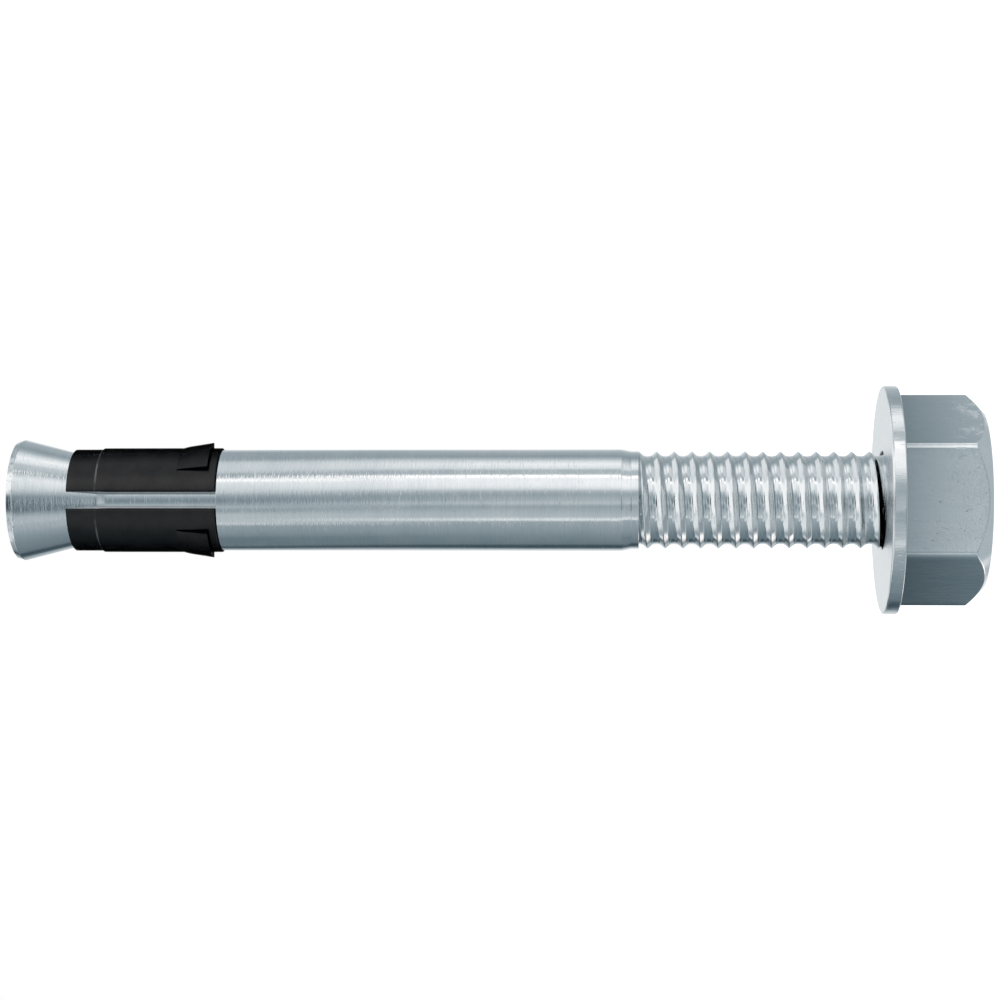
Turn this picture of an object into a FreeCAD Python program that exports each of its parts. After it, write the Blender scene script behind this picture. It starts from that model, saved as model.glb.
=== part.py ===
import FreeCAD, Part
import math
import os

# A nail anchor standing on its nut, in millimetres.
# The axis is +Z, from the nut's end face at z = 0 up to the expansion cone.
# The sleeve's slot and one flat of the nut face -Y.

# Nut
nut_across_flats = 9.8
nut_height = 4.51
nut_corner_round = 0.4
nut_end_face_diameter = 9.35
nut_chamfer_angle = 43.0
nut_mouth_chamfer = 0.1

# Washer
washer_diameter = 12.15
washer_thickness = 0.75
washer_edge_chamfer = 0.05

# Threaded end of the bolt
thread_diameter = 5.17
thread_depth = 0.235
thread_pitch = 0.94
thread_crest_width = 0.09
thread_root_width = 0.4
thread_length = 17.83
stud_recess = 0.3
stud_end_chamfer = 0.3

# Plain part of the bolt
neck_diameter = 5.21
neck_length = 0.38
shank_diameter = 5.42
shank_taper_length = 0.55
shank_length = 21.43
shoulder_chamfer = 0.07

# Waist and expansion cone of the bolt
waist_diameter = 4.2
waist_length = 6.29
cone_diameter = 6.52
cone_half_angle = 14.4
cone_bevel_length = 0.33
cone_bevel_width = 0.13

# Expansion sleeve
sleeve_diameter = 5.61
sleeve_cone_cover = 1.73
sleeve_lip_length = 1.59
sleeve_lip_step = 0.07
sleeve_edge_chamfer = 0.04
slot_width = 0.94

# Barbs cut in the sleeve
barb_count = 3
barb_first_angle = 60.0
barb_spacing = 120.0
barb_angle = 52.0
barb_length = 1.68
barb_lift = 0.3
barb_tail_ring = 0.43
barb_bend_share = 0.22
barb_bend_lift_share = 0.32
barb_side_slit_angle = 1.6
barb_end_slit = 0.05

# Clearances between pieces
thread_clearance = 0.05
washer_hole_clearance = 0.065
sleeve_bore_clearance = 0.085
sleeve_cone_clearance = 0.06
sleeve_end_clearance = 0.04

# Heights along the axis
stud_end_z = stud_recess
neck_z = stud_end_z + thread_length
taper_z = neck_z + neck_length
shank_z = taper_z + shank_taper_length
shoulder_z = shank_z + shank_length
cone_z = shoulder_z + waist_length
cone_slope = math.tan(math.radians(cone_half_angle))
cone_top_z = cone_z + (cone_diameter - waist_diameter) / 2 / cone_slope
bolt_top_z = cone_top_z + cone_bevel_length
sleeve_bottom_z = shoulder_z + sleeve_end_clearance
sleeve_top_z = cone_z + sleeve_cone_cover
washer_z = nut_height
washer_top_z = washer_z + washer_thickness

# Fixed choices of the construction
groove_overshoot = 0.02
turns_per_sweep = 5
slot_direction = -90.0
origin = FreeCAD.Vector(0, 0, 0)
up = FreeCAD.Vector(0, 0, 1)


def turned(corners, start_angle=0.0, angle=360.0):
    """A solid turned about the axis from (radius, height) corners."""
    points = [FreeCAD.Vector(r, 0, z) for r, z in corners]
    face = Part.Face(Part.makePolygon(points + points[:1]))
    if start_angle:
        face.rotate(origin, up, start_angle)
    return face.revolve(origin, up, angle)


def thread_groove(start_z, grow):
    """A few turns of the groove between the crests, narrowed by grow for a mating hole."""
    crest_radius = thread_diameter / 2 + grow
    root_radius = crest_radius - thread_depth
    half_root = thread_root_width / 2 - grow
    half_width = (thread_pitch - thread_crest_width) / 2 - grow
    flank_slope = (half_width - half_root) / thread_depth
    edge_radius = crest_radius + groove_overshoot
    half_edge = half_width + groove_overshoot * flank_slope
    outside = crest_radius + thread_depth
    corners = [
        FreeCAD.Vector(root_radius, 0, start_z - half_root),
        FreeCAD.Vector(root_radius, 0, start_z + half_root),
        FreeCAD.Vector(edge_radius, 0, start_z + half_edge),
        FreeCAD.Vector(outside, 0, start_z + half_edge),
        FreeCAD.Vector(outside, 0, start_z - half_edge),
        FreeCAD.Vector(edge_radius, 0, start_z - half_edge),
    ]
    profile = Part.makePolygon(corners + corners[:1])
    path = Part.makeHelix(thread_pitch, turns_per_sweep * thread_pitch, crest_radius)
    path.translate(FreeCAD.Vector(0, 0, start_z))
    return Part.Wire(path).makePipeShell([profile], True, True)


def threaded_rod(low_z, high_z, grow):
    """A rod threaded from low_z up to high_z, where it ends, in step with the bolt's thread."""
    turns_left = math.ceil((neck_z - low_z) / thread_pitch) + 1
    start_z = neck_z - (turns_left + 0.5) * thread_pitch
    low_end = start_z - 2 * thread_pitch
    low_centre = FreeCAD.Vector(0, 0, low_end)
    rod = Part.makeCylinder(thread_diameter / 2 + grow, high_z - low_end, low_centre)
    rod.rotate(origin, up, 90)
    while start_z < high_z + thread_pitch:
        rod = rod.cut(thread_groove(start_z, grow))
        start_z += turns_per_sweep * thread_pitch
    return rod


def make_bolt():
    """The bolt: threaded end, neck, shank, waist and cone in one piece."""
    neck_radius = neck_diameter / 2
    shank_radius = shank_diameter / 2
    waist_radius = waist_diameter / 2
    cone_edge_radius = cone_diameter / 2
    end_radius = thread_diameter / 2 - stud_end_chamfer
    thread_blank = turned([
        (0, stud_end_z),
        (end_radius, stud_end_z),
        (neck_radius, stud_end_z + neck_radius - end_radius),
        (neck_radius, neck_z),
        (0, neck_z),
    ])
    upper = turned([
        (0, neck_z),
        (neck_radius, neck_z),
        (neck_radius, taper_z),
        (shank_radius, shank_z),
        (shank_radius, shoulder_z - shoulder_chamfer),
        (shank_radius - shoulder_chamfer, shoulder_z),
        (waist_radius, shoulder_z),
        (waist_radius, cone_z),
        (cone_edge_radius, cone_top_z),
        (cone_edge_radius - cone_bevel_width, bolt_top_z),
        (0, bolt_top_z),
    ])
    threaded = threaded_rod(stud_end_z, neck_z, 0.0).common(thread_blank)
    return threaded.fuse(upper).removeSplitter()


def make_sleeve():
    """The slotted sleeve round the waist, with barbs cut and bent out of its wall."""
    outer = sleeve_diameter / 2
    lip_outer = outer - sleeve_lip_step
    lip_z = sleeve_top_z - sleeve_lip_length
    bore = waist_diameter / 2 + sleeve_bore_clearance
    flare_z = cone_z + (sleeve_bore_clearance - sleeve_cone_clearance) / cone_slope
    mouth = waist_diameter / 2 + sleeve_cone_cover * cone_slope + sleeve_cone_clearance
    wall = turned([
        (bore, sleeve_bottom_z),
        (outer - sleeve_edge_chamfer, sleeve_bottom_z),
        (outer, sleeve_bottom_z + sleeve_edge_chamfer),
        (outer, lip_z),
        (lip_outer, lip_z + sleeve_lip_step),
        (lip_outer, sleeve_top_z - sleeve_edge_chamfer),
        (lip_outer - sleeve_edge_chamfer, sleeve_top_z),
        (mouth, sleeve_top_z),
        (bore, flare_z),
    ])
    slot_margin = sleeve_diameter
    slot = Part.makeBox(slot_width, slot_margin, sleeve_top_z - sleeve_bottom_z + 2 * slot_margin)
    slot.translate(FreeCAD.Vector(-slot_width / 2, -slot_margin, sleeve_bottom_z - slot_margin))
    wall = wall.cut(slot)

    tip_z = sleeve_bottom_z + barb_tail_ring
    crease_z = tip_z + barb_length
    bend_z = crease_z - barb_length * barb_bend_share
    bend_lift = barb_lift * barb_bend_lift_share
    root_z = crease_z + sleeve_edge_chamfer
    window_bottom = tip_z - barb_end_slit
    window_inner = bore - sleeve_edge_chamfer
    window_outer = outer + barb_lift
    for i in range(barb_count):
        start = slot_direction + barb_first_angle + i * barb_spacing - barb_angle / 2
        window = turned([
            (window_inner, window_bottom),
            (window_outer, window_bottom),
            (window_outer, crease_z),
            (window_inner, crease_z),
        ], start, barb_angle)
        barb = turned([
            (bore, root_z),
            (bore, crease_z),
            (bore + bend_lift, bend_z),
            (bore + barb_lift, tip_z),
            (outer + barb_lift, tip_z),
            (outer + bend_lift, bend_z),
            (outer, crease_z),
            (outer, root_z),
        ], start + barb_side_slit_angle, barb_angle - 2 * barb_side_slit_angle)
        wall = wall.cut(window).fuse(barb)
    return wall.removeSplitter()


def make_washer():
    """The flat round washer lying against the nut."""
    hole = thread_diameter / 2 + washer_hole_clearance
    rim = washer_diameter / 2
    return turned([
        (hole, washer_z),
        (rim - washer_edge_chamfer, washer_z),
        (rim, washer_z + washer_edge_chamfer),
        (rim, washer_top_z - washer_edge_chamfer),
        (rim - washer_edge_chamfer, washer_top_z),
        (hole, washer_top_z),
    ])


def make_nut():
    """The hexagon nut, chamfered on its end face and plain against the washer."""
    corner_radius = nut_across_flats / 2 / math.cos(math.radians(30))
    corners = []
    for i in range(7):
        turn = math.radians(60 * i)
        corners.append(FreeCAD.Vector(corner_radius * math.cos(turn), corner_radius * math.sin(turn), 0))
    prism = Part.Face(Part.makePolygon(corners)).extrude(FreeCAD.Vector(0, 0, nut_height))
    upright = [edge for edge in prism.Edges if abs(edge.tangentAt(edge.FirstParameter).z) > 0.9]
    prism = prism.makeFillet(nut_corner_round, upright)
    end_radius = nut_end_face_diameter / 2
    chamfer_height = (corner_radius - end_radius) * math.tan(math.radians(nut_chamfer_angle))
    blank = prism.common(turned([
        (0, 0),
        (end_radius, 0),
        (corner_radius, chamfer_height),
        (corner_radius, nut_height),
        (0, nut_height),
    ]))
    nut = blank.cut(threaded_rod(-thread_pitch, nut_height + thread_pitch, thread_clearance))
    mouth_radius = thread_diameter / 2 + thread_clearance + nut_mouth_chamfer
    low_mouth = Part.makeCone(mouth_radius, 0, mouth_radius)
    high_mouth = Part.makeCone(mouth_radius, 0, mouth_radius, FreeCAD.Vector(0, 0, nut_height), -up)
    return nut.cut(low_mouth).cut(high_mouth)


os.makedirs("parts", exist_ok=True)
pieces = {
    "anchor_bolt": make_bolt(),
    "expansion_sleeve": make_sleeve(),
    "flat_washer": make_washer(),
    "hex_nut": make_nut(),
}
for name, shape in pieces.items():
    assert len(shape.Solids) == 1, name + " is not one solid"
    solid = shape.Solids[0]
    assert solid.isValid(), name + " is not a valid solid"
    solid.exportStep("parts/" + name + ".step")
    print(name, round(solid.Volume, 2), "mm3", len(solid.Faces), "faces")
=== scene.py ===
import math
import bmesh
import bpy
from mathutils import Matrix, Vector, noise


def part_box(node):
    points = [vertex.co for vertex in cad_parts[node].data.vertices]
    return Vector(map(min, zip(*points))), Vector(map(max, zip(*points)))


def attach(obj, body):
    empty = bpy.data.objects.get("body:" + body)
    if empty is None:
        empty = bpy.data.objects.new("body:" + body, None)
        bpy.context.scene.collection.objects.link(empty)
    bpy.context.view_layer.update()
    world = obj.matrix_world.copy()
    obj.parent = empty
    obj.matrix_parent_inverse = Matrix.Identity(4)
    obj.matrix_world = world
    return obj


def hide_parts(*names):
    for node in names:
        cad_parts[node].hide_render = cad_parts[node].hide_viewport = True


# The looks of the nail anchor: a zinc-plated bolt, washer and nut and a matte black sleeve.
# Pieces are built in millimetres on the axis +Z and scaled to metres at the end.

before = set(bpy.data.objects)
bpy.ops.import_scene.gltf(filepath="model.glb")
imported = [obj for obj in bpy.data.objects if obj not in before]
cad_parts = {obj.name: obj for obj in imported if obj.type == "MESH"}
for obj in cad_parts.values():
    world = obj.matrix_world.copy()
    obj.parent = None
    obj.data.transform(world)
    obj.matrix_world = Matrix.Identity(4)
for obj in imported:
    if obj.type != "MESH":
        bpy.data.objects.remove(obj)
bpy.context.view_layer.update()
METRES = 0.001


def box_mm(node):
    """The lowest and highest corner of a solid in millimetres."""
    low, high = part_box(node)
    return low / METRES, high / METRES


bolt_low, bolt_high = box_mm("anchor_bolt")
sleeve_low, sleeve_high = box_mm("expansion_sleeve")
washer_low, washer_high = box_mm("flat_washer")
nut_high = box_mm("hex_nut")[1]

# Threaded end of the bolt
thread_radius = 2.585
thread_depth = 0.235
thread_pitch = 0.94
thread_length = 17.83
thread_clearance = 0.05
crest_width = 0.06
crest_round = 0.008
groove_width = 0.48
groove_sag = 0.048
stud_end_chamfer = 0.3
stud_end_z = bolt_low.z
stud_end_radius = thread_radius - stud_end_chamfer
neck_z = stud_end_z + thread_length
neck_radius = 2.605
neck_length = 0.38
neck_edge = 0.02

# Shank, waist and cone of the bolt
taper_length = 0.55
taper_softness = 0.1
taper_z = neck_z + neck_length
shank_z = taper_z + taper_length
shank_radius = 2.71
shank_length = 21.43
shoulder_z = shank_z + shank_length
shoulder_round = 0.04
waist_radius = 2.1
waist_length = 6.29
cone_z = shoulder_z + waist_length
cone_radius = bolt_high.x
cone_half_angle = 14.4
cone_slope = math.tan(math.radians(cone_half_angle))
cone_top_z = cone_z + (cone_radius - waist_radius) / cone_slope
cone_bevel_width = 0.13
cone_blend = 0.35
rim_round = 0.03
rim_wear = 0.02

# Expansion sleeve
sleeve_radius = 2.805
bore_clearance = 0.085
cone_clearance = 0.06
sleeve_bore = waist_radius + bore_clearance
lip_length = 1.59
lip_z = sleeve_high.z - lip_length
lip_step = 0.07
sleeve_edge = 0.04
soft_edge_width = 0.014
slot_half_width = 0.47
slot_round = 0.11
slot_edge_angle = math.degrees(math.asin(slot_half_width / sleeve_radius))
flare_z = cone_z + (bore_clearance - cone_clearance) / cone_slope
mouth_radius = waist_radius + (sleeve_high.z - cone_z) * cone_slope + cone_clearance

# Barbs of the sleeve, with angles in degrees from its slot
barb_centres = (60.0, 180.0, 300.0)
barb_half_angle = 26.0
barb_slit_angle = 1.6
barb_end_slit = 0.05
barb_length = 1.68
barb_tail_ring = 0.43
barb_tip_z = sleeve_low.z + barb_tail_ring
barb_crease_z = barb_tip_z + barb_length
barb_bend_share = 0.22
barb_bend_z = barb_crease_z - barb_length * barb_bend_share
barb_lift = 0.3
barb_bend_lift_share = 0.32
barb_bend_lift = barb_lift * barb_bend_lift_share

# Nut
nut_apothem = nut_high.y
nut_corner_round = 0.4
nut_flat_half = (nut_apothem - nut_corner_round) * math.tan(math.radians(30))
nut_round_start = math.atan(nut_flat_half / nut_apothem)
nut_end_radius = 4.675
nut_chamfer_angle = 43.0
nut_chamfer_slope = math.tan(math.radians(nut_chamfer_angle))
nut_mouth_chamfer = 0.1
nut_mouth_depth = thread_depth + nut_mouth_chamfer
nut_edge = 0.05

# Washer
washer_hole = 2.61
washer_edge = 0.13
washer_low_edge = washer_edge * 0.6
washer_wear = 0.006


def finish_mesh(name, vertices, faces, sharp_angle):
    """A smooth closed mesh object in metres, with edges sharper than sharp_angle kept crisp."""
    merge_distance = 0.00001
    mesh = bpy.data.meshes.new(name)
    mesh.from_pydata(vertices, [], faces)
    bm = bmesh.new()
    bm.from_mesh(mesh)
    bmesh.ops.remove_doubles(bm, verts=bm.verts, dist=merge_distance)
    bmesh.ops.dissolve_degenerate(bm, edges=bm.edges, dist=merge_distance)
    bmesh.ops.recalc_face_normals(bm, faces=bm.faces)
    bmesh.ops.scale(bm, vec=Vector((METRES,) * 3), verts=bm.verts)
    bm.to_mesh(mesh)
    bm.free()
    mesh.shade_smooth()
    mesh.set_sharp_from_angle(angle=math.radians(sharp_angle))
    piece = bpy.data.objects.new(name, mesh)
    bpy.context.scene.collection.objects.link(piece)
    return piece


def turned(name, angles, outline, ring):
    """A skin round the axis from outline(angle), a list of (radius, height) points of one length.
    The angles run from 0 to a full turn, where the rows of a thread meet the next turn's rows.
    With ring the outline closes on itself, otherwise it starts and ends on the axis."""
    sharp_angle = 35.0
    vertices = []
    for angle in angles:
        for radius, height in outline(angle):
            vertices.append((radius * math.cos(angle), radius * math.sin(angle), height))
    rows = len(vertices) // len(angles)
    last = rows if ring else rows - 1
    faces = []
    for i in range(len(angles) - 1):
        here = i * rows
        beside = here + rows
        for j in range(last):
            above = (j + 1) % rows
            faces.append((here + j, beside + j, beside + above, here + above))
    return finish_mesh(name, vertices, faces, sharp_angle)


def supported(points, ring):
    """The outline with a point added close to both ends of each long side, so that a side's smooth
    shading stays true up to its rounded edges."""
    reach = 0.02
    ends = points[1:] + points[:1] if ring else points[1:]
    filled = []
    for (r, z), (next_r, next_z) in zip(points, ends):
        filled.append((r, z))
        length = math.hypot(next_r - r, next_z - z)
        if length > 3 * reach:
            for share in (reach / length, 1 - reach / length):
                filled.append((r + (next_r - r) * share, z + (next_z - z) * share))
    return filled if ring else filled + points[-1:]


def even_angles(count):
    """Even steps round the axis, from 0 to a full turn."""
    return [2 * math.pi * i / count for i in range(count + 1)]


def wear(angle, seed, size, grain):
    """A small unevenness of an edge, different for each seed."""
    place = Vector((math.cos(angle) * grain, math.sin(angle) * grain, seed * grain))
    return size * noise.noise(place)


def thread_offsets():
    """Heights of the points across one turn of the thread, measured from a crest."""
    half_crest = crest_width / 2
    foot = (thread_pitch - groove_width) / 2
    beside = 0.014
    crest = [-half_crest, -half_crest / 3, half_crest / 3, half_crest]
    flank = [half_crest + beside, foot - beside, foot + beside]
    first, last = flank[-1], thread_pitch - flank[-1]
    groove_points = 6
    groove = [first + (last - first) * i / groove_points for i in range(1, groove_points)]
    return crest + flank + groove + [thread_pitch - offset for offset in reversed(flank)]


def thread_surface(angle, height, grow):
    """Radius of the right-hand thread at a place: straight flanks and a slightly hollow groove."""
    turns = (height - neck_z) / thread_pitch - angle / (2 * math.pi)
    offset = abs(turns - round(turns)) * thread_pitch
    half_crest = crest_width / 2 + grow
    foot = (thread_pitch - groove_width) / 2 + grow
    foot_depth = thread_depth - groove_sag
    top = thread_radius + grow
    if offset <= half_crest:
        return top - crest_round * (offset / half_crest) ** 2
    if offset <= foot:
        fall = (foot_depth - crest_round) * (offset - half_crest) / (foot - half_crest)
        return top - crest_round - fall
    from_middle = (thread_pitch / 2 - offset) / (thread_pitch / 2 - foot)
    return top - thread_depth + groove_sag * from_middle ** 2


def thread_rows(angle, low_z, high_z):
    """Heights of the thread's rows at one angle, held between its two ends."""
    first = math.floor((low_z - neck_z) / thread_pitch) - 1
    last = math.ceil((high_z - neck_z) / thread_pitch)
    heights = []
    for turn in range(first, last + 1):
        crest_z = neck_z + (turn + angle / (2 * math.pi)) * thread_pitch
        for offset in thread_offsets():
            heights.append(min(max(crest_z + offset, low_z), high_z))
    return heights


def bolt_outline(angle):
    """The whole bolt from its threaded end up to the cone."""
    points = [(0, stud_end_z), (stud_end_radius - rim_round, stud_end_z)]
    for height in thread_rows(angle, stud_end_z, neck_z):
        chamfer = stud_end_radius + height - stud_end_z
        points.append((min(thread_surface(angle, height, 0.0), chamfer), height))
    return points + supported(plain_outline(angle), ring=False)


def plain_outline(angle):
    """The bolt above its thread: neck, taper, shank, waist and cone."""
    points = [(neck_radius - neck_edge, neck_z), (neck_radius, neck_z + neck_edge)]
    taper_points = 10
    for i in range(taper_points + 1):
        share = i / taper_points
        rise = share + taper_softness * (share * share * (3 - 2 * share) - share)
        radius = neck_radius + (shank_radius - neck_radius) * rise
        points.append((radius, taper_z + (shank_z - taper_z) * share))
    shank_points = 4
    shank_top = shoulder_z - shoulder_round
    for i in range(1, shank_points):
        points.append((shank_radius, shank_z + (shank_top - shank_z) * i / shank_points))
    round_points = 5
    for i in range(round_points + 1):
        turn = math.radians(90 * i / round_points)
        radius = shank_radius - shoulder_round * (1 - math.cos(turn))
        points.append((radius, shank_top + shoulder_round * math.sin(turn)))
    points += [(waist_radius, shoulder_z), (waist_radius, cone_z - cone_blend)]
    blend_points = 6
    for i in range(1, blend_points + 1):
        share = i / blend_points
        rise = cone_blend * cone_slope * share * share
        points.append((waist_radius + rise, cone_z + cone_blend * (2 * share - 1)))
    # The cone's rim and bevel, rounded and a little uneven
    points.append((cone_radius - rim_round * cone_slope, cone_top_z - rim_round))
    rim = wear(angle, seed=1.0, size=rim_wear, grain=9.0)
    points.append((cone_radius - rim_round * 0.25, cone_top_z + rim_round * 0.3 + rim))
    points.append((cone_radius - rim_round, cone_top_z + 2 * rim_round + rim))
    end_radius = cone_radius - cone_bevel_width
    uneven = wear(angle, seed=5.0, size=rim_wear, grain=7.0)
    points.append((end_radius + rim_round + uneven, bolt_high.z - rim_round))
    points.append((end_radius - rim_round + uneven, bolt_high.z))
    points.append((0, bolt_high.z))
    return points


def edge_arc(corner_radius, corner_z, size, start, end):
    """A rounded edge of an outline: an arc of that size between two directions in degrees."""
    arc_points = 4
    points = []
    for i in range(arc_points + 1):
        turn = math.radians(start + (end - start) * i / arc_points)
        points.append((corner_radius + size * math.cos(turn), corner_z + size * math.sin(turn)))
    return points


def washer_outline(angle):
    """The washer's section, with a rim that is a little dented."""
    dent = wear(angle, seed=2.0, size=2 * washer_wear, grain=6.0)
    dent += wear(angle, seed=8.0, size=washer_wear, grain=19.0)
    rim = washer_high.x - washer_wear + min(dent, 0.0)
    hole = washer_hole
    low = washer_low.z
    high = washer_high.z
    edge = washer_edge
    low_edge = washer_low_edge
    points = edge_arc(hole + low_edge, low + low_edge, low_edge, 180, 270)
    points += edge_arc(rim - low_edge, low + low_edge, low_edge, 270, 360)
    points += edge_arc(rim - edge, high - edge, edge, 0, 90)
    points += edge_arc(hole + edge, high - edge, edge, 90, 180)
    return supported(points, ring=True)


def nut_radius(angle):
    """Radius of the hexagon with rounded corners; its flats face -Y and +Y."""
    sector = math.radians(60)
    from_flat = abs((angle - math.radians(90) + sector / 2) % sector - sector / 2)
    if from_flat <= nut_round_start:
        return nut_apothem / math.cos(from_flat)
    corner_centre = (nut_apothem - nut_corner_round) / math.cos(sector / 2)
    beside = sector / 2 - from_flat
    across = corner_centre * math.sin(beside)
    return corner_centre * math.cos(beside) + math.sqrt(nut_corner_round ** 2 - across ** 2)


def nut_angles():
    """Angles round the nut from one corner, close together where the corners are rounded."""
    round_half = math.radians(30) - nut_round_start
    round_steps = 5
    flat_steps = 18
    angles = []
    for side in range(6):
        corner = math.radians(60 * side)
        next_corner = corner + math.radians(60)
        for i in range(round_steps):
            angles.append(corner + round_half * i / round_steps)
        for i in range(flat_steps):
            angles.append(corner + round_half + 2 * nut_round_start * i / flat_steps)
        for i in range(round_steps):
            angles.append(next_corner - round_half + round_half * i / round_steps)
    angles.append(2 * math.pi)
    return angles


def nut_outline(angle):
    """The nut's outside with rounded edges, then its thread, which ends in a mouth at each face."""
    outer = nut_radius(angle)
    bore = thread_radius + thread_clearance - thread_depth
    mouth = bore + nut_mouth_depth
    chamfer_z = (outer - nut_end_radius) * nut_chamfer_slope
    edge = nut_edge
    # How far the points of a rounding lie from its corner
    middle = edge * 0.3
    near = edge * 0.4
    far = edge * 0.7
    points = [
        (mouth, nut_high.z),
        (outer - edge, nut_high.z),
        (outer - middle, nut_high.z - middle),
        (outer, nut_high.z - edge),
        (outer, chamfer_z + edge),
        (outer - near * 0.15, chamfer_z + near),
        (outer - near * 0.6, chamfer_z - near * 0.25),
        (outer - far, chamfer_z - far * nut_chamfer_slope),
        (nut_end_radius + far, far * nut_chamfer_slope),
        (nut_end_radius + near * 0.25, near * 0.5),
        (nut_end_radius - edge, 0),
        (mouth, 0),
    ]
    points = supported(points, ring=False)
    for height in thread_rows(angle, 0.0, nut_high.z):
        from_end = min(height, nut_high.z - height)
        cone = bore + max(nut_mouth_depth - from_end, 0.0)
        points.append((max(thread_surface(angle, height, thread_clearance), cone), height))
    return points


def steps_between(stops, step):
    """The stops in order, with even steps filled in between them."""
    filled = [stops[0]]
    for low, high in zip(stops, stops[1:]):
        count = max(1, round((high - low) / step))
        filled += [low + (high - low) * i / count for i in range(1, count + 1)]
    return filled


def sleeve_outer(z, lifted, from_slot):
    """Radius of the sleeve's outside, with its lip and its rounded ends and slot."""
    edge = max(sleeve_low.z + sleeve_edge - z, z - sleeve_high.z + sleeve_edge, 0.0)
    step = lip_step * min(max((z - lip_z) / lip_step, 0.0), 1.0)
    short = min(max(slot_round - from_slot, 0.0), slot_round)
    rounding = slot_round - math.sqrt(slot_round ** 2 - short ** 2)
    return sleeve_radius - step - edge + lifted - rounding


def sleeve_inner(z, lifted):
    """Radius of the sleeve's inside, flared towards its mouth over the cone."""
    share = max((z - flare_z) / (sleeve_high.z - flare_z), 0.0)
    return sleeve_bore + (mouth_radius - sleeve_bore) * share + lifted


def barb_rise(z):
    """How far a barb stands out of the sleeve at a height."""
    if z >= barb_bend_z:
        return barb_bend_lift * (barb_crease_z - z) / (barb_crease_z - barb_bend_z)
    share = (barb_bend_z - z) / (barb_bend_z - barb_tip_z)
    return barb_bend_lift + (barb_lift - barb_bend_lift) * share


def near_barb(degrees, reach):
    """Whether an angle from the slot is within reach of the middle of a barb."""
    return any(abs(degrees - centre) < reach for centre in barb_centres)


def in_window(degrees, z):
    """Whether a place is in the opening that a barb is bent out of."""
    return near_barb(degrees, barb_half_angle) and barb_tip_z - barb_end_slit < z < barb_crease_z


def on_barb(degrees, z, slack=0.0):
    """Whether a place is on a lifted barb, or on its edge where there is slack."""
    reach = barb_half_angle - barb_slit_angle + slack
    return near_barb(degrees, reach) and barb_tip_z - slack < z < barb_crease_z + slack


def sleeve_angles():
    """Angles round the sleeve in degrees, close together where the slot's edges are rounded."""
    round_steps = 5
    angle_step = 3.5
    round_angle = math.degrees(slot_round / sleeve_radius)
    rounding = [round_angle * i / round_steps for i in range(round_steps + 1)]
    stops = [slot_edge_angle + rounding[-1]]
    inside = barb_half_angle - barb_slit_angle
    for centre in barb_centres:
        for side in (-barb_half_angle, -inside, inside, barb_half_angle):
            stops.append(centre + side)
    stops.append(360 - slot_edge_angle - rounding[-1])
    first_edge = [slot_edge_angle + turn for turn in rounding[:-1]]
    last_edge = [360 - slot_edge_angle - turn for turn in reversed(rounding[:-1])]
    return first_edge + steps_between(stops, angle_step) + last_edge


def sleeve_heights():
    """Heights of the sleeve's rows: one at each edge of its features and even steps between."""
    height_step = 0.25
    stops = [
        sleeve_low.z, sleeve_low.z + sleeve_edge, barb_tip_z - barb_end_slit, barb_tip_z,
        barb_bend_z, barb_crease_z, lip_z, lip_z + lip_step, flare_z,
        sleeve_high.z - sleeve_edge, sleeve_high.z,
    ]
    return steps_between(sorted(stops), height_step)


def sleeve_point(degrees, z, inside):
    """A point of the sleeve's outer or inner skin, at an angle from the middle of the slot."""
    slack = 0.001
    lifted = barb_rise(z) if on_barb(degrees, z, slack) else 0.0
    from_slot = math.radians(min(degrees, 360 - degrees) - slot_edge_angle) * sleeve_radius
    radius = sleeve_inner(z, lifted) if inside else sleeve_outer(z, lifted, from_slot)
    angle = math.radians(degrees)
    if from_slot <= slot_round + slack:
        across = slot_half_width + max(from_slot, 0.0)
        angle = math.copysign(math.asin(across / radius), math.sin(angle))
    return (radius * math.sin(angle), -radius * math.cos(angle), z)


def build_sleeve():
    """The sleeve on a grid of angles and heights, open at the slot and at the barbs' slits."""
    angles = sleeve_angles()
    heights = sleeve_heights()

    def cell_filled(i, j):
        if not (0 <= i < len(angles) - 1 and 0 <= j < len(heights) - 1):
            return False
        degrees = (angles[i] + angles[i + 1]) / 2
        z = (heights[j] + heights[j + 1]) / 2
        return not in_window(degrees, z) or on_barb(degrees, z)

    def number(i, j, inside):
        return (i * len(heights) + j) * 2 + inside

    vertices = []
    for degrees in angles:
        for z in heights:
            vertices += [sleeve_point(degrees, z, inside) for inside in (0, 1)]
    faces = []
    for i in range(len(angles) - 1):
        for j in range(len(heights) - 1):
            if not cell_filled(i, j):
                continue
            corners = [(i, j), (i + 1, j), (i + 1, j + 1), (i, j + 1)]
            faces.append([number(a, b, 0) for a, b in corners])
            faces.append([number(a, b, 1) for a, b in reversed(corners)])
            beside = [(i, j - 1), (i + 1, j), (i, j + 1), (i - 1, j)]
            for side, (start, end) in enumerate(zip(corners, corners[1:] + corners[:1])):
                if not cell_filled(*beside[side]):
                    wall = [number(*start, 0), number(*start, 1), number(*end, 1), number(*end, 0)]
                    faces.append(wall)
    used = sorted({n for face in faces for n in face})
    new_number = {old: new for new, old in enumerate(used)}
    faces = [[new_number[n] for n in face] for face in faces]
    sleeve = finish_mesh("black_sleeve", [vertices[n] for n in used], faces, sharp_angle=12.0)
    bevel = sleeve.modifiers.new("soft edges", "BEVEL")
    bevel.width = soft_edge_width * METRES
    bevel.segments = 2
    bevel.limit_method = "ANGLE"
    bevel.angle_limit = math.radians(50)
    bevel.harden_normals = True
    return sleeve


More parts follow.
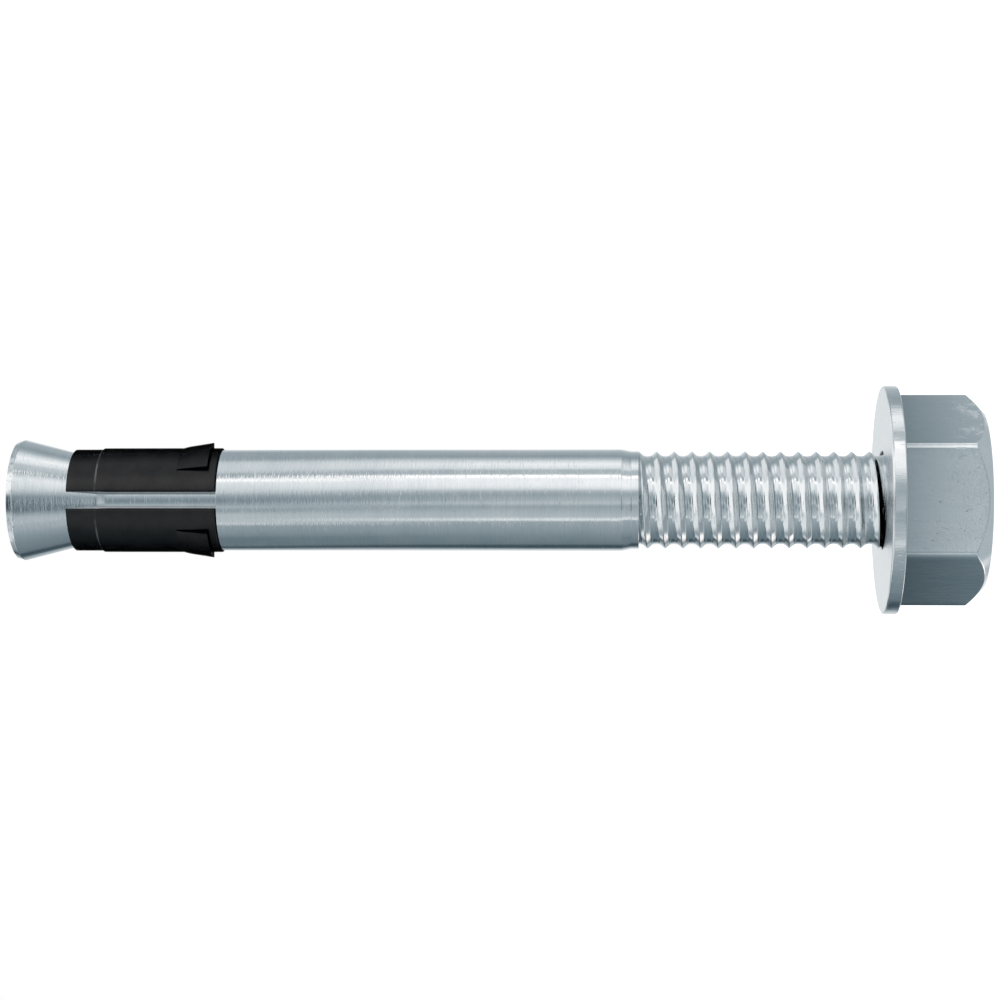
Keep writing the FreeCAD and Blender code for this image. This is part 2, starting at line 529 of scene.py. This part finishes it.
class Nodes:
    """Short calls for building a node tree."""

    def __init__(self, tree):
        self.tree = tree
        tree.nodes.clear()

    def add(self, kind, **settings):
        node = self.tree.nodes.new(kind)
        for name, value in settings.items():
            setattr(node, name, value)
        return node

    def link(self, output, target):
        self.tree.links.new(output, target)

    def coordinates(self, kind):
        return self.add("ShaderNodeTexCoord").outputs[kind]

    def parts(self, vector):
        """The x, y and z of a vector."""
        node = self.add("ShaderNodeSeparateXYZ")
        self.link(vector, node.inputs[0])
        return node.outputs

    def stretched(self, source, scale):
        node = self.add("ShaderNodeVectorMath", operation="MULTIPLY")
        self.link(source, node.inputs[0])
        node.inputs[1].default_value = scale
        return node.outputs[0]

    def noise(self, source, scale, detail=3.0, rough=0.55):
        node = self.add("ShaderNodeTexNoise")
        self.link(source, node.inputs["Vector"])
        node.inputs["Scale"].default_value = scale
        node.inputs["Detail"].default_value = detail
        node.inputs["Roughness"].default_value = rough
        return node.outputs["Fac"]

    def math(self, operation, first, second=None):
        node = self.add("ShaderNodeMath", operation=operation)
        for socket, value in zip(node.inputs, (first, second)):
            if isinstance(value, (int, float)):
                socket.default_value = value
            elif value is not None:
                self.link(value, socket)
        return node.outputs[0]

    def across_axis(self, place):
        """The squared distance of a place from the axis."""
        x, y, _ = self.parts(place)
        return self.math("ADD", self.math("MULTIPLY", x, x), self.math("MULTIPLY", y, y))

    def mapped(self, source, low, high, new_low, new_high):
        """The source's range from low to high, turned into the range from new_low to new_high."""
        node = self.add("ShaderNodeMapRange", clamp=True)
        self.link(source, node.inputs["Value"])
        limits = {"From Min": low, "From Max": high, "To Min": new_low, "To Max": new_high}
        for name, value in limits.items():
            node.inputs[name].default_value = value
        return node.outputs["Result"]

    def mixed(self, factor, first, second):
        """A mix of two colours; in the node they are the seventh and the eighth socket."""
        node = self.add("ShaderNodeMix", data_type="RGBA")
        sockets = (node.inputs[0], node.inputs[6], node.inputs[7])
        for socket, value in zip(sockets, (factor, first, second)):
            if isinstance(value, tuple):
                socket.default_value = (*value, 1.0)
            elif isinstance(value, (int, float)):
                socket.default_value = value
            else:
                self.link(value, socket)
        return node.outputs[2]

    def bump(self, height, distance, below=None):
        node = self.add("ShaderNodeBump")
        node.inputs["Strength"].default_value = 1.0
        node.inputs["Distance"].default_value = distance
        self.link(height, node.inputs["Height"])
        if below is not None:
            self.link(below, node.inputs["Normal"])
        return node.outputs["Normal"]


def new_material(name):
    """A material with its nodes, its shader and the place on the piece in millimetres."""
    material = bpy.data.materials.new(name)
    material.use_nodes = True
    nodes = Nodes(material.node_tree)
    shader = nodes.add("ShaderNodeBsdfPrincipled")
    output = nodes.add("ShaderNodeOutputMaterial")
    nodes.link(shader.outputs[0], output.inputs["Surface"])
    place = nodes.stretched(nodes.coordinates("Object"), (1 / METRES,) * 3)
    return material, nodes, shader, place


# Values between which most of a noise lies, and a closer pair for more contrast
noise_range = (0.3, 0.7)
contrast_range = (0.35, 0.65)


def zinc(nodes, shader, place, look):
    """Zinc plating: fine marks stretched as look["marks"] says, ticks, specks and soft clouds.
    Depths of marks and grain are in metres. Returns the colour, roughness and normal outputs."""
    cloud_tone = 0.6
    marks_tone = 0.4
    cloud_roughness = (-0.03, 0.05)
    fine_marks_scale = 3.1
    fine_marks_depth = 0.5
    ticks_scale = 2.3
    ticks_range = (0.66, 0.72)
    ticks_depth = 0.6
    grain_scale = 9.0
    grain_roughness = (-0.02, 0.02)
    specks_scale = 4.0
    specks_size = (0.05, 0.1)
    specks_roughness = 0.2

    def marks(scale, detail, rough):
        stretch = tuple(scale * part for part in look["marks"])
        return nodes.noise(nodes.stretched(place, stretch), 1.0, detail, rough)

    coarse_marks = marks(1.0, 4.0, 0.6)
    fine_marks = marks(fine_marks_scale, 2.0, 0.6)
    ticks = nodes.mapped(marks(ticks_scale, 1.0, 0.5), *ticks_range, 0.0, 1.0)
    clouds = nodes.noise(place, look["cloud_size"], 4.0, 0.6)
    grain = nodes.noise(place, grain_scale, 2.0, 0.5)
    speck_field = nodes.add("ShaderNodeTexVoronoi")
    nodes.link(place, speck_field.inputs["Vector"])
    speck_field.inputs["Scale"].default_value = specks_scale
    specks = nodes.mapped(speck_field.outputs["Distance"], *specks_size, 1.0, 0.0)

    cloud_part = nodes.math("MULTIPLY", clouds, cloud_tone)
    tone = nodes.math("ADD", cloud_part, nodes.math("MULTIPLY", coarse_marks, marks_tone))
    lightness = nodes.mapped(tone, *contrast_range, 0.0, 1.0)
    colour = nodes.mixed(lightness, look["dark"], look["light"])

    cloud_part = nodes.mapped(clouds, *noise_range, *cloud_roughness)
    uneven = nodes.math("ADD", cloud_part, nodes.mapped(grain, *noise_range, *grain_roughness))
    rough = nodes.math("ADD", uneven, look["roughness"])
    rough = nodes.math("ADD", rough, nodes.math("MULTIPLY", specks, specks_roughness))

    height = nodes.math("ADD", coarse_marks, nodes.math("MULTIPLY", fine_marks, fine_marks_depth))
    height = nodes.math("SUBTRACT", height, nodes.math("MULTIPLY", ticks, ticks_depth))
    normal = nodes.bump(height, look["mark_depth"])
    normal = nodes.bump(nodes.math("SUBTRACT", grain, specks), look["grain_depth"], normal)
    shader.inputs["Metallic"].default_value = 1.0
    return colour, rough, normal


def join(nodes, shader, colour, rough, normal):
    """Leads colour, roughness and normal into the shader."""
    nodes.link(colour, shader.inputs["Base Color"])
    nodes.link(rough, shader.inputs["Roughness"])
    nodes.link(normal, shader.inputs["Normal"])


def bolt_zinc():
    """Turned bolt: bright, with fine marks round the axis. The thread's flanks towards the nut get
    a darker colour as painted shade, and the cone's bevel has dark flecks."""
    material, nodes, shader, place = new_material("bolt_zinc")
    look = {
        "dark": (0.72, 0.765, 0.79),
        "light": (0.82, 0.85, 0.865),
        "roughness": 0.042,
        "cloud_size": 0.7,
        "marks": (0.5, 0.5, 9.0),
        "mark_depth": 0.0000034,
        "grain_depth": 0.0000014,
    }
    flank_painted_shade = (0.6, 0.635, 0.65)
    shaded_flank_facing = (-0.5, -0.62)
    fleck_colour = (0.3, 0.32, 0.33)
    flecks_scale = 5.0
    flecks_range = (0.53, 0.62)
    flecks_strength = 0.6
    bevel_blend = 0.12
    colour, rough, normal = zinc(nodes, shader, place, look)
    # Painted shade: thread flanks facing the nut, along -Z, get a darker colour
    _, _, facing_cone = nodes.parts(nodes.coordinates("Normal"))
    on_shaded_flank = nodes.mapped(facing_cone, *shaded_flank_facing, 0.0, 1.0)
    colour = nodes.mixed(on_shaded_flank, colour, flank_painted_shade)
    _, _, height = nodes.parts(place)
    on_bevel = nodes.mapped(height, cone_top_z - bevel_blend, cone_top_z, 0.0, 1.0)
    flecks = nodes.noise(place, flecks_scale, 4.0, 0.7)
    flecks = nodes.mapped(flecks, *flecks_range, 0.0, flecks_strength)
    colour = nodes.mixed(nodes.math("MULTIPLY", on_bevel, flecks), colour, fleck_colour)
    join(nodes, shader, colour, rough, normal)
    return material


def washer_zinc():
    """Stamped washer: dull flat faces, a bright streaked rim and painted shade darkening its hole.
    """
    material, nodes, shader, place = new_material("washer_zinc")
    look = {
        "dark": (0.73, 0.77, 0.795),
        "light": (0.84, 0.865, 0.88),
        "roughness": 0.13,
        "cloud_size": 0.8,
        "marks": (3.0, 3.0, 0.6),
        "mark_depth": 0.000006,
        "grain_depth": 0.000002,
    }
    hole_painted_shade = (0.1, 0.11, 0.12)
    hole_shade_reach = 0.005
    hole_shade_fade = 0.02
    face_facing = (0.8, 0.95)
    face_roughness = 0.16
    colour, rough, normal = zinc(nodes, shader, place, look)
    _, _, along_axis = nodes.parts(nodes.coordinates("Normal"))
    flat = nodes.mapped(nodes.math("ABSOLUTE", along_axis), *face_facing, 0.0, face_roughness)
    rough = nodes.math("ADD", rough, flat)
    from_axis = nodes.math("SQRT", nodes.across_axis(place))
    beyond_hole = nodes.math("SUBTRACT", from_axis, washer_hole)
    # Painted shade: the hole's wall and edge turn near-black, for the shadow in the gap round the
    # bolt
    inside = nodes.mapped(beyond_hole, hole_shade_reach, hole_shade_reach + hole_shade_fade, 1.0, 0.0)
    colour = nodes.mixed(inside, colour, hole_painted_shade)
    join(nodes, shader, colour, rough, normal)
    return material


def nut_zinc():
    """Satin nut, with painted shade darkening it towards the washer, and scuffed towards its end on
    one side.
    """
    material, nodes, shader, place = new_material("nut_zinc")
    look = {
        "dark": (0.83, 0.88, 0.905),
        "light": (0.94, 0.955, 0.965),
        "roughness": 0.1,
        "cloud_size": 0.6,
        "marks": (2.2, 2.2, 0.5),
        "mark_depth": 0.000004,
        "grain_depth": 0.0000016,
    }
    washer_painted_shade = (0.42, 0.48, 0.51)
    washer_shade_begins = 0.8
    washer_shade_share = 0.9
    scuffs_heights = (1.0, 2.6)
    scuffs_sides = (0.0, 2.4)
    scuffs_side_share = (0.1, 1.0)
    scuffs_scale = 1.3
    scuffs_range = (0.5, 0.62)
    scuffs_roughness = 0.35
    colour, rough, normal = zinc(nodes, shader, place, look)
    side, _, height = nodes.parts(place)
    # Painted shade: the nut darkens towards the washer, where the washer blocks the light
    washer_shade = nodes.mapped(height, washer_shade_begins, nut_high.z, 0.0, washer_shade_share)
    colour = nodes.mixed(washer_shade, colour, washer_painted_shade)
    near_end = nodes.mapped(height, *scuffs_heights, 1.0, 0.0)
    to_side = nodes.mapped(side, *scuffs_sides, *scuffs_side_share)
    scuffed = nodes.math("MULTIPLY", near_end, to_side)
    scuffs = nodes.noise(place, scuffs_scale, 6.0, 0.7)
    scuffs = nodes.mapped(scuffs, *scuffs_range, 0.0, scuffs_roughness)
    rough = nodes.math("ADD", rough, nodes.math("MULTIPLY", scuffed, scuffs))
    join(nodes, shader, colour, rough, normal)
    return material


def black_coating():
    """Matte black finish of the sleeve with a fine grain, rubbed patches and a light line where its
    lip starts, partly worn coating and mostly a painted highlight; the slot's cut walls are bare."""
    material, nodes, shader, place = new_material("black_coating")
    darkest = (0.038, 0.038, 0.039)
    lightest = (0.048, 0.047, 0.048)
    rubbed_colour = (0.07, 0.07, 0.07)
    lip_wear_and_highlight_colour = (0.55, 0.56, 0.57)
    bare_colour = (0.8, 0.82, 0.83)
    coating_roughness = (0.28, 0.36)
    clouds_scale = 1.1
    grain_scale = 24.0
    grain_depth = 0.000003
    rubbed_stretch = (1.0, 1.0, 8.0)
    rubbed_range = (0.66, 0.8)
    rubbed_share = 0.5
    lip_wear_and_highlight_reach = (lip_step * 0.45, lip_step * 0.75)
    lip_wear_and_highlight_scale = 0.8
    lip_wear_and_highlight_range = (0.38, 0.56)
    lip_wear_and_highlight_share = (0.16, 0.85)
    slot_margin = 0.01
    wall_facing = (0.93, 0.98)

    clouds = nodes.noise(place, clouds_scale, 4.0, 0.6)
    grain = nodes.noise(place, grain_scale, 3.0, 0.6)
    rubbed = nodes.noise(nodes.stretched(place, rubbed_stretch), 1.0, 4.0, 0.6)
    colour = nodes.mixed(nodes.mapped(clouds, *contrast_range, 0.0, 1.0), darkest, lightest)
    rubbed = nodes.mapped(rubbed, *rubbed_range, 0.0, rubbed_share)
    colour = nodes.mixed(rubbed, colour, rubbed_colour)

    across, _, height = nodes.parts(place)
    # Painted highlight along the lip step, broken up by noise like worn coating
    from_lip = nodes.math("ABSOLUTE", nodes.math("SUBTRACT", height, lip_z + lip_step / 2))
    on_lip = nodes.mapped(from_lip, *lip_wear_and_highlight_reach, 1.0, 0.0)
    lip_wear_and_highlight = nodes.mapped(nodes.noise(place, lip_wear_and_highlight_scale, 2.0, 0.5), *lip_wear_and_highlight_range, *lip_wear_and_highlight_share)
    colour = nodes.mixed(nodes.math("MULTIPLY", on_lip, lip_wear_and_highlight), colour, lip_wear_and_highlight_colour)

    facing_side, _, _ = nodes.parts(nodes.coordinates("Normal"))
    sideways = nodes.mapped(nodes.math("ABSOLUTE", facing_side), *wall_facing, 0.0, 1.0)
    at_slot = nodes.math("LESS_THAN", nodes.math("ABSOLUTE", across), slot_half_width + slot_margin)
    cut_wall = nodes.math("LESS_THAN", nodes.across_axis(place), (sleeve_radius - slot_round) ** 2)
    bare = nodes.math("MULTIPLY", nodes.math("MULTIPLY", sideways, at_slot), cut_wall)
    colour = nodes.mixed(bare, colour, bare_colour)

    rough = nodes.mapped(clouds, *noise_range, *coating_roughness)
    join(nodes, shader, colour, rough, nodes.bump(grain, grain_depth))
    shader.inputs["Metallic"].default_value = 1.0
    shader.inputs["Specular Tint"].default_value = (0.08, 0.08, 0.08, 1.0)
    return material


# Brightness of the studio by angle round the anchor's axis, in degrees: 0 is towards the camera,
# 90 the top of the picture, 180 the backdrop and -90 below. Strip lights lie along the axis.
level_strips = [
    (-180, 0.95), (-155, 0.7), (-147, 0.4), (-140, 0.12), (-128, 0.08), (-118, 0.22), (-92, 0.29),
    (-66, 0.39), (-49, 0.45), (-46, 0.97), (-43, 0.85), (-39, 0.58), (-14, 0.43), (-7, 0.63),
    (0, 0.54), (13, 0.44), (20, 0.54), (27, 0.93), (34, 1.08), (52, 1.1), (55, 1.5), (58, 1.4),
    (61, 0.6), (72, 0.58), (78, 0.95), (90, 1.1), (100, 0.85), (108, 0.55), (118, 0.38),
    (146, 0.52), (180, 0.95),
]
shoulder_strips = [
    (-170, 0.95), (-150, 0.54), (-131, 0.07), (-120, 0.22), (-90, 0.22), (-78, 0.3), (-51, 0.4),
    (-47, 0.82), (-40, 0.55), (-25, 0.6), (-16, 0.37), (-11, 0.4), (-6, 0.6), (-1, 0.36),
    (7, 0.27), (13, 0.33), (21, 0.5), (27, 0.74), (47, 0.9), (52, 1.0), (55, 1.5), (58, 1.2),
    (62, 0.45), (70, 0.46), (77, 0.74), (104, 0.72), (114, 0.42), (150, 0.42), (165, 0.62),
    (180, 0.85),
]
cone_strips = [
    (-180, 0.95), (-160, 0.4), (-130, 0.22), (-100, 0.23), (-77, 0.36), (-60, 0.49), (-36, 0.54),
    (-30, 0.42), (-21, 0.17), (-6, 0.19), (2, 0.24), (7, 0.3), (14, 0.58), (20, 0.77), (33, 0.9),
    (42, 0.96), (48, 0.8), (54, 0.48), (60, 0.53), (70, 0.73), (77, 0.79), (96, 0.7),
    (107, 0.45), (117, 0.36), (130, 0.43), (152, 0.42), (180, 0.95),
]
cone_side_strips = [
    (-180, 0.95), (-130, 0.95), (-116, 0.5), (-84, 0.42), (-74, 0.9), (-60, 1.15), (58, 1.15),
    (72, 1.0), (84, 0.5), (110, 0.42), (140, 0.9), (180, 1.0),
]
bevel_strips = [
    (-180, 0.9), (-162, 0.85), (-152, 0.38), (-113, 0.42), (-102, 0.9), (-75, 0.9), (-62, 0.55),
    (-50, 0.64), (-28, 0.6), (-17, 0.45), (-10, 0.1), (3, 0.1), (15, 0.22), (21, 0.42),
    (28, 0.7), (35, 1.1), (70, 1.15), (84, 0.65), (95, 0.85), (180, 1.0),
]
nut_side_strips = [
    (-180, 0.6), (-157, 0.45), (-149, 0.5), (-143, 1.5), (-127, 1.5), (-117, 0.6), (-64, 0.5),
    (-45, 0.24), (40, 0.22), (70, 0.45), (100, 0.55), (130, 0.42), (180, 0.55),
]
cone_end_strips = [(-180, 1.08)]
nut_end_strips = [(-180, 0.48)]
# Each zone of strips with the rise, along the axis towards the cone, where it begins to show and
# where it alone shows, from the level outwards to either end.
light_zones = [
    (shoulder_strips, 0.05, 0.15),
    (cone_side_strips, 0.48, 0.55),
    (bevel_strips, 0.59, 0.63),
    (cone_end_strips, 0.89, 0.93),
    (cone_strips, -0.153, -0.172),
    (level_strips, -0.262, -0.285),
    (nut_side_strips, -0.45, -0.6),
    (nut_end_strips, -0.7, -0.78),
]
# The strips turn by this angle towards the shank's shoulder, between these rises.
shoulder_drift = 10.0
drift_begins = 0.11
drift_full = 0.165


def studio_colour(level):
    """A grey that is slightly bluer where it is darker."""
    red_power = 1.17
    blue_power = 0.925
    return (level ** red_power, level, level ** blue_power)


def strip_ramp(nodes, angle, strips):
    """A colour ramp round the axis with the strips' stops."""
    ramp = nodes.add("ShaderNodeValToRGB")
    nodes.link(nodes.mapped(angle, -180.0, 180.0, 0.0, 1.0), ramp.inputs[0])
    stops = ramp.color_ramp.elements
    while len(stops) > 1:
        stops.remove(stops[-1])
    for n, (degrees, level) in enumerate(strips):
        position = degrees / 360 + 0.5
        stop = stops[0] if n == 0 else stops.new(position)
        stop.position = position
        stop.color = (*studio_colour(level), 1.0)
    return ramp.outputs[0]


def studio_world():
    """Studio light from all round, and a white backdrop for the camera."""
    world = bpy.data.worlds.new("studio")
    bpy.context.scene.world = world
    world.use_nodes = True
    nodes = Nodes(world.node_tree)
    x, y, rise = nodes.parts(nodes.coordinates("Generated"))
    angle = nodes.math("ARCTAN2", x, nodes.math("MULTIPLY", y, -1.0))
    angle = nodes.math("DEGREES", angle)
    drift = nodes.mapped(rise, drift_begins, drift_full, 0.0, shoulder_drift)
    angle = nodes.math("ADD", angle, drift)
    colour = strip_ramp(nodes, angle, level_strips)
    for strips, begins, full in light_zones:
        share = nodes.mapped(rise, begins, full, 0.0, 1.0)
        colour = nodes.mixed(share, colour, strip_ramp(nodes, angle, strips))
    seen = nodes.add("ShaderNodeLightPath").outputs["Is Camera Ray"]
    colour = nodes.mixed(seen, colour, (1.0, 1.0, 1.0))
    background = nodes.add("ShaderNodeBackground")
    nodes.link(colour, background.inputs["Color"])
    output = nodes.add("ShaderNodeOutputWorld")
    nodes.link(background.outputs[0], output.inputs["Surface"])


def pale_floor():
    """A round white floor that the anchor stands on; it glows a little, as a light table does."""
    floor_radius = 250.0
    floor_thickness = 2.0
    floor_gap = 0.02
    floor_roughness = (0.9, 0.92)
    floor_clouds = 0.02
    glow = 0.8

    def outline(angle):
        top = -floor_gap
        bottom = top - floor_thickness
        return [(0, top), (floor_radius, top), (floor_radius, bottom), (0, bottom)]

    floor = turned("floor", even_angles(count=96), outline, ring=False)
    material, nodes, shader, place = new_material("pale_floor")
    rough = nodes.mapped(nodes.noise(place, floor_clouds), *noise_range, *floor_roughness)
    nodes.link(rough, shader.inputs["Roughness"])
    shader.inputs["Base Color"].default_value = (0.9, 0.9, 0.9, 1.0)
    shader.inputs["Emission Color"].default_value = (1.0, 1.0, 1.0, 1.0)
    shader.inputs["Emission Strength"].default_value = glow
    floor.data.materials.append(material)
    floor.visible_glossy = False


def add_camera():
    """The photograph's view: from the side, with the anchor's cone end to the left. The camera
    stands foot_z up the anchor and at that distance from its axis, a hair above it in the
    picture, and is turned by the yaw towards the cone."""
    focal_length = 86.4
    sensor = 36.0
    clip_start = 0.01
    foot_z = 18.066
    distance = 128.513
    yaw = math.radians(3.3385)
    above_axis = 0.006
    data = bpy.data.cameras.new("camera")
    data.lens = focal_length
    data.sensor_width = sensor
    data.clip_start = clip_start
    camera = bpy.data.objects.new("camera", data)
    bpy.context.scene.collection.objects.link(camera)
    right = Vector((0, math.sin(yaw), -math.cos(yaw)))
    up = Vector((1, 0, 0))
    back = right.cross(up)
    turn = Matrix((right, up, back)).transposed()
    place = Vector((above_axis, -distance, foot_z)) * METRES
    camera.matrix_world = Matrix.Translation(place) @ turn.to_4x4()
    bpy.context.scene.camera = camera


bolt_angles = even_angles(count=160)
washer_angles = even_angles(count=240)
bolt = turned("zinc_bolt", bolt_angles, bolt_outline, ring=False)
washer = turned("zinc_washer", washer_angles, washer_outline, ring=True)
nut = turned("zinc_nut", nut_angles(), nut_outline, ring=True)
sleeve = build_sleeve()

bolt.data.materials.append(bolt_zinc())
washer.data.materials.append(washer_zinc())
nut.data.materials.append(nut_zinc())
sleeve.data.materials.append(black_coating())

pieces = [
    (bolt, "bolt", "anchor_bolt", "zinc_bolt"),
    (sleeve, "sleeve", "expansion_sleeve", "black_sleeve"),
    (washer, "washer", "flat_washer", "zinc_washer"),
    (nut, "nut", "hex_nut", "zinc_nut"),
]
for piece, body, node, slot in pieces:
    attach(piece, body)
    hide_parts(node)

pale_floor()
studio_world()
add_camera()
bpy.context.scene.view_settings.view_transform = "Standard"
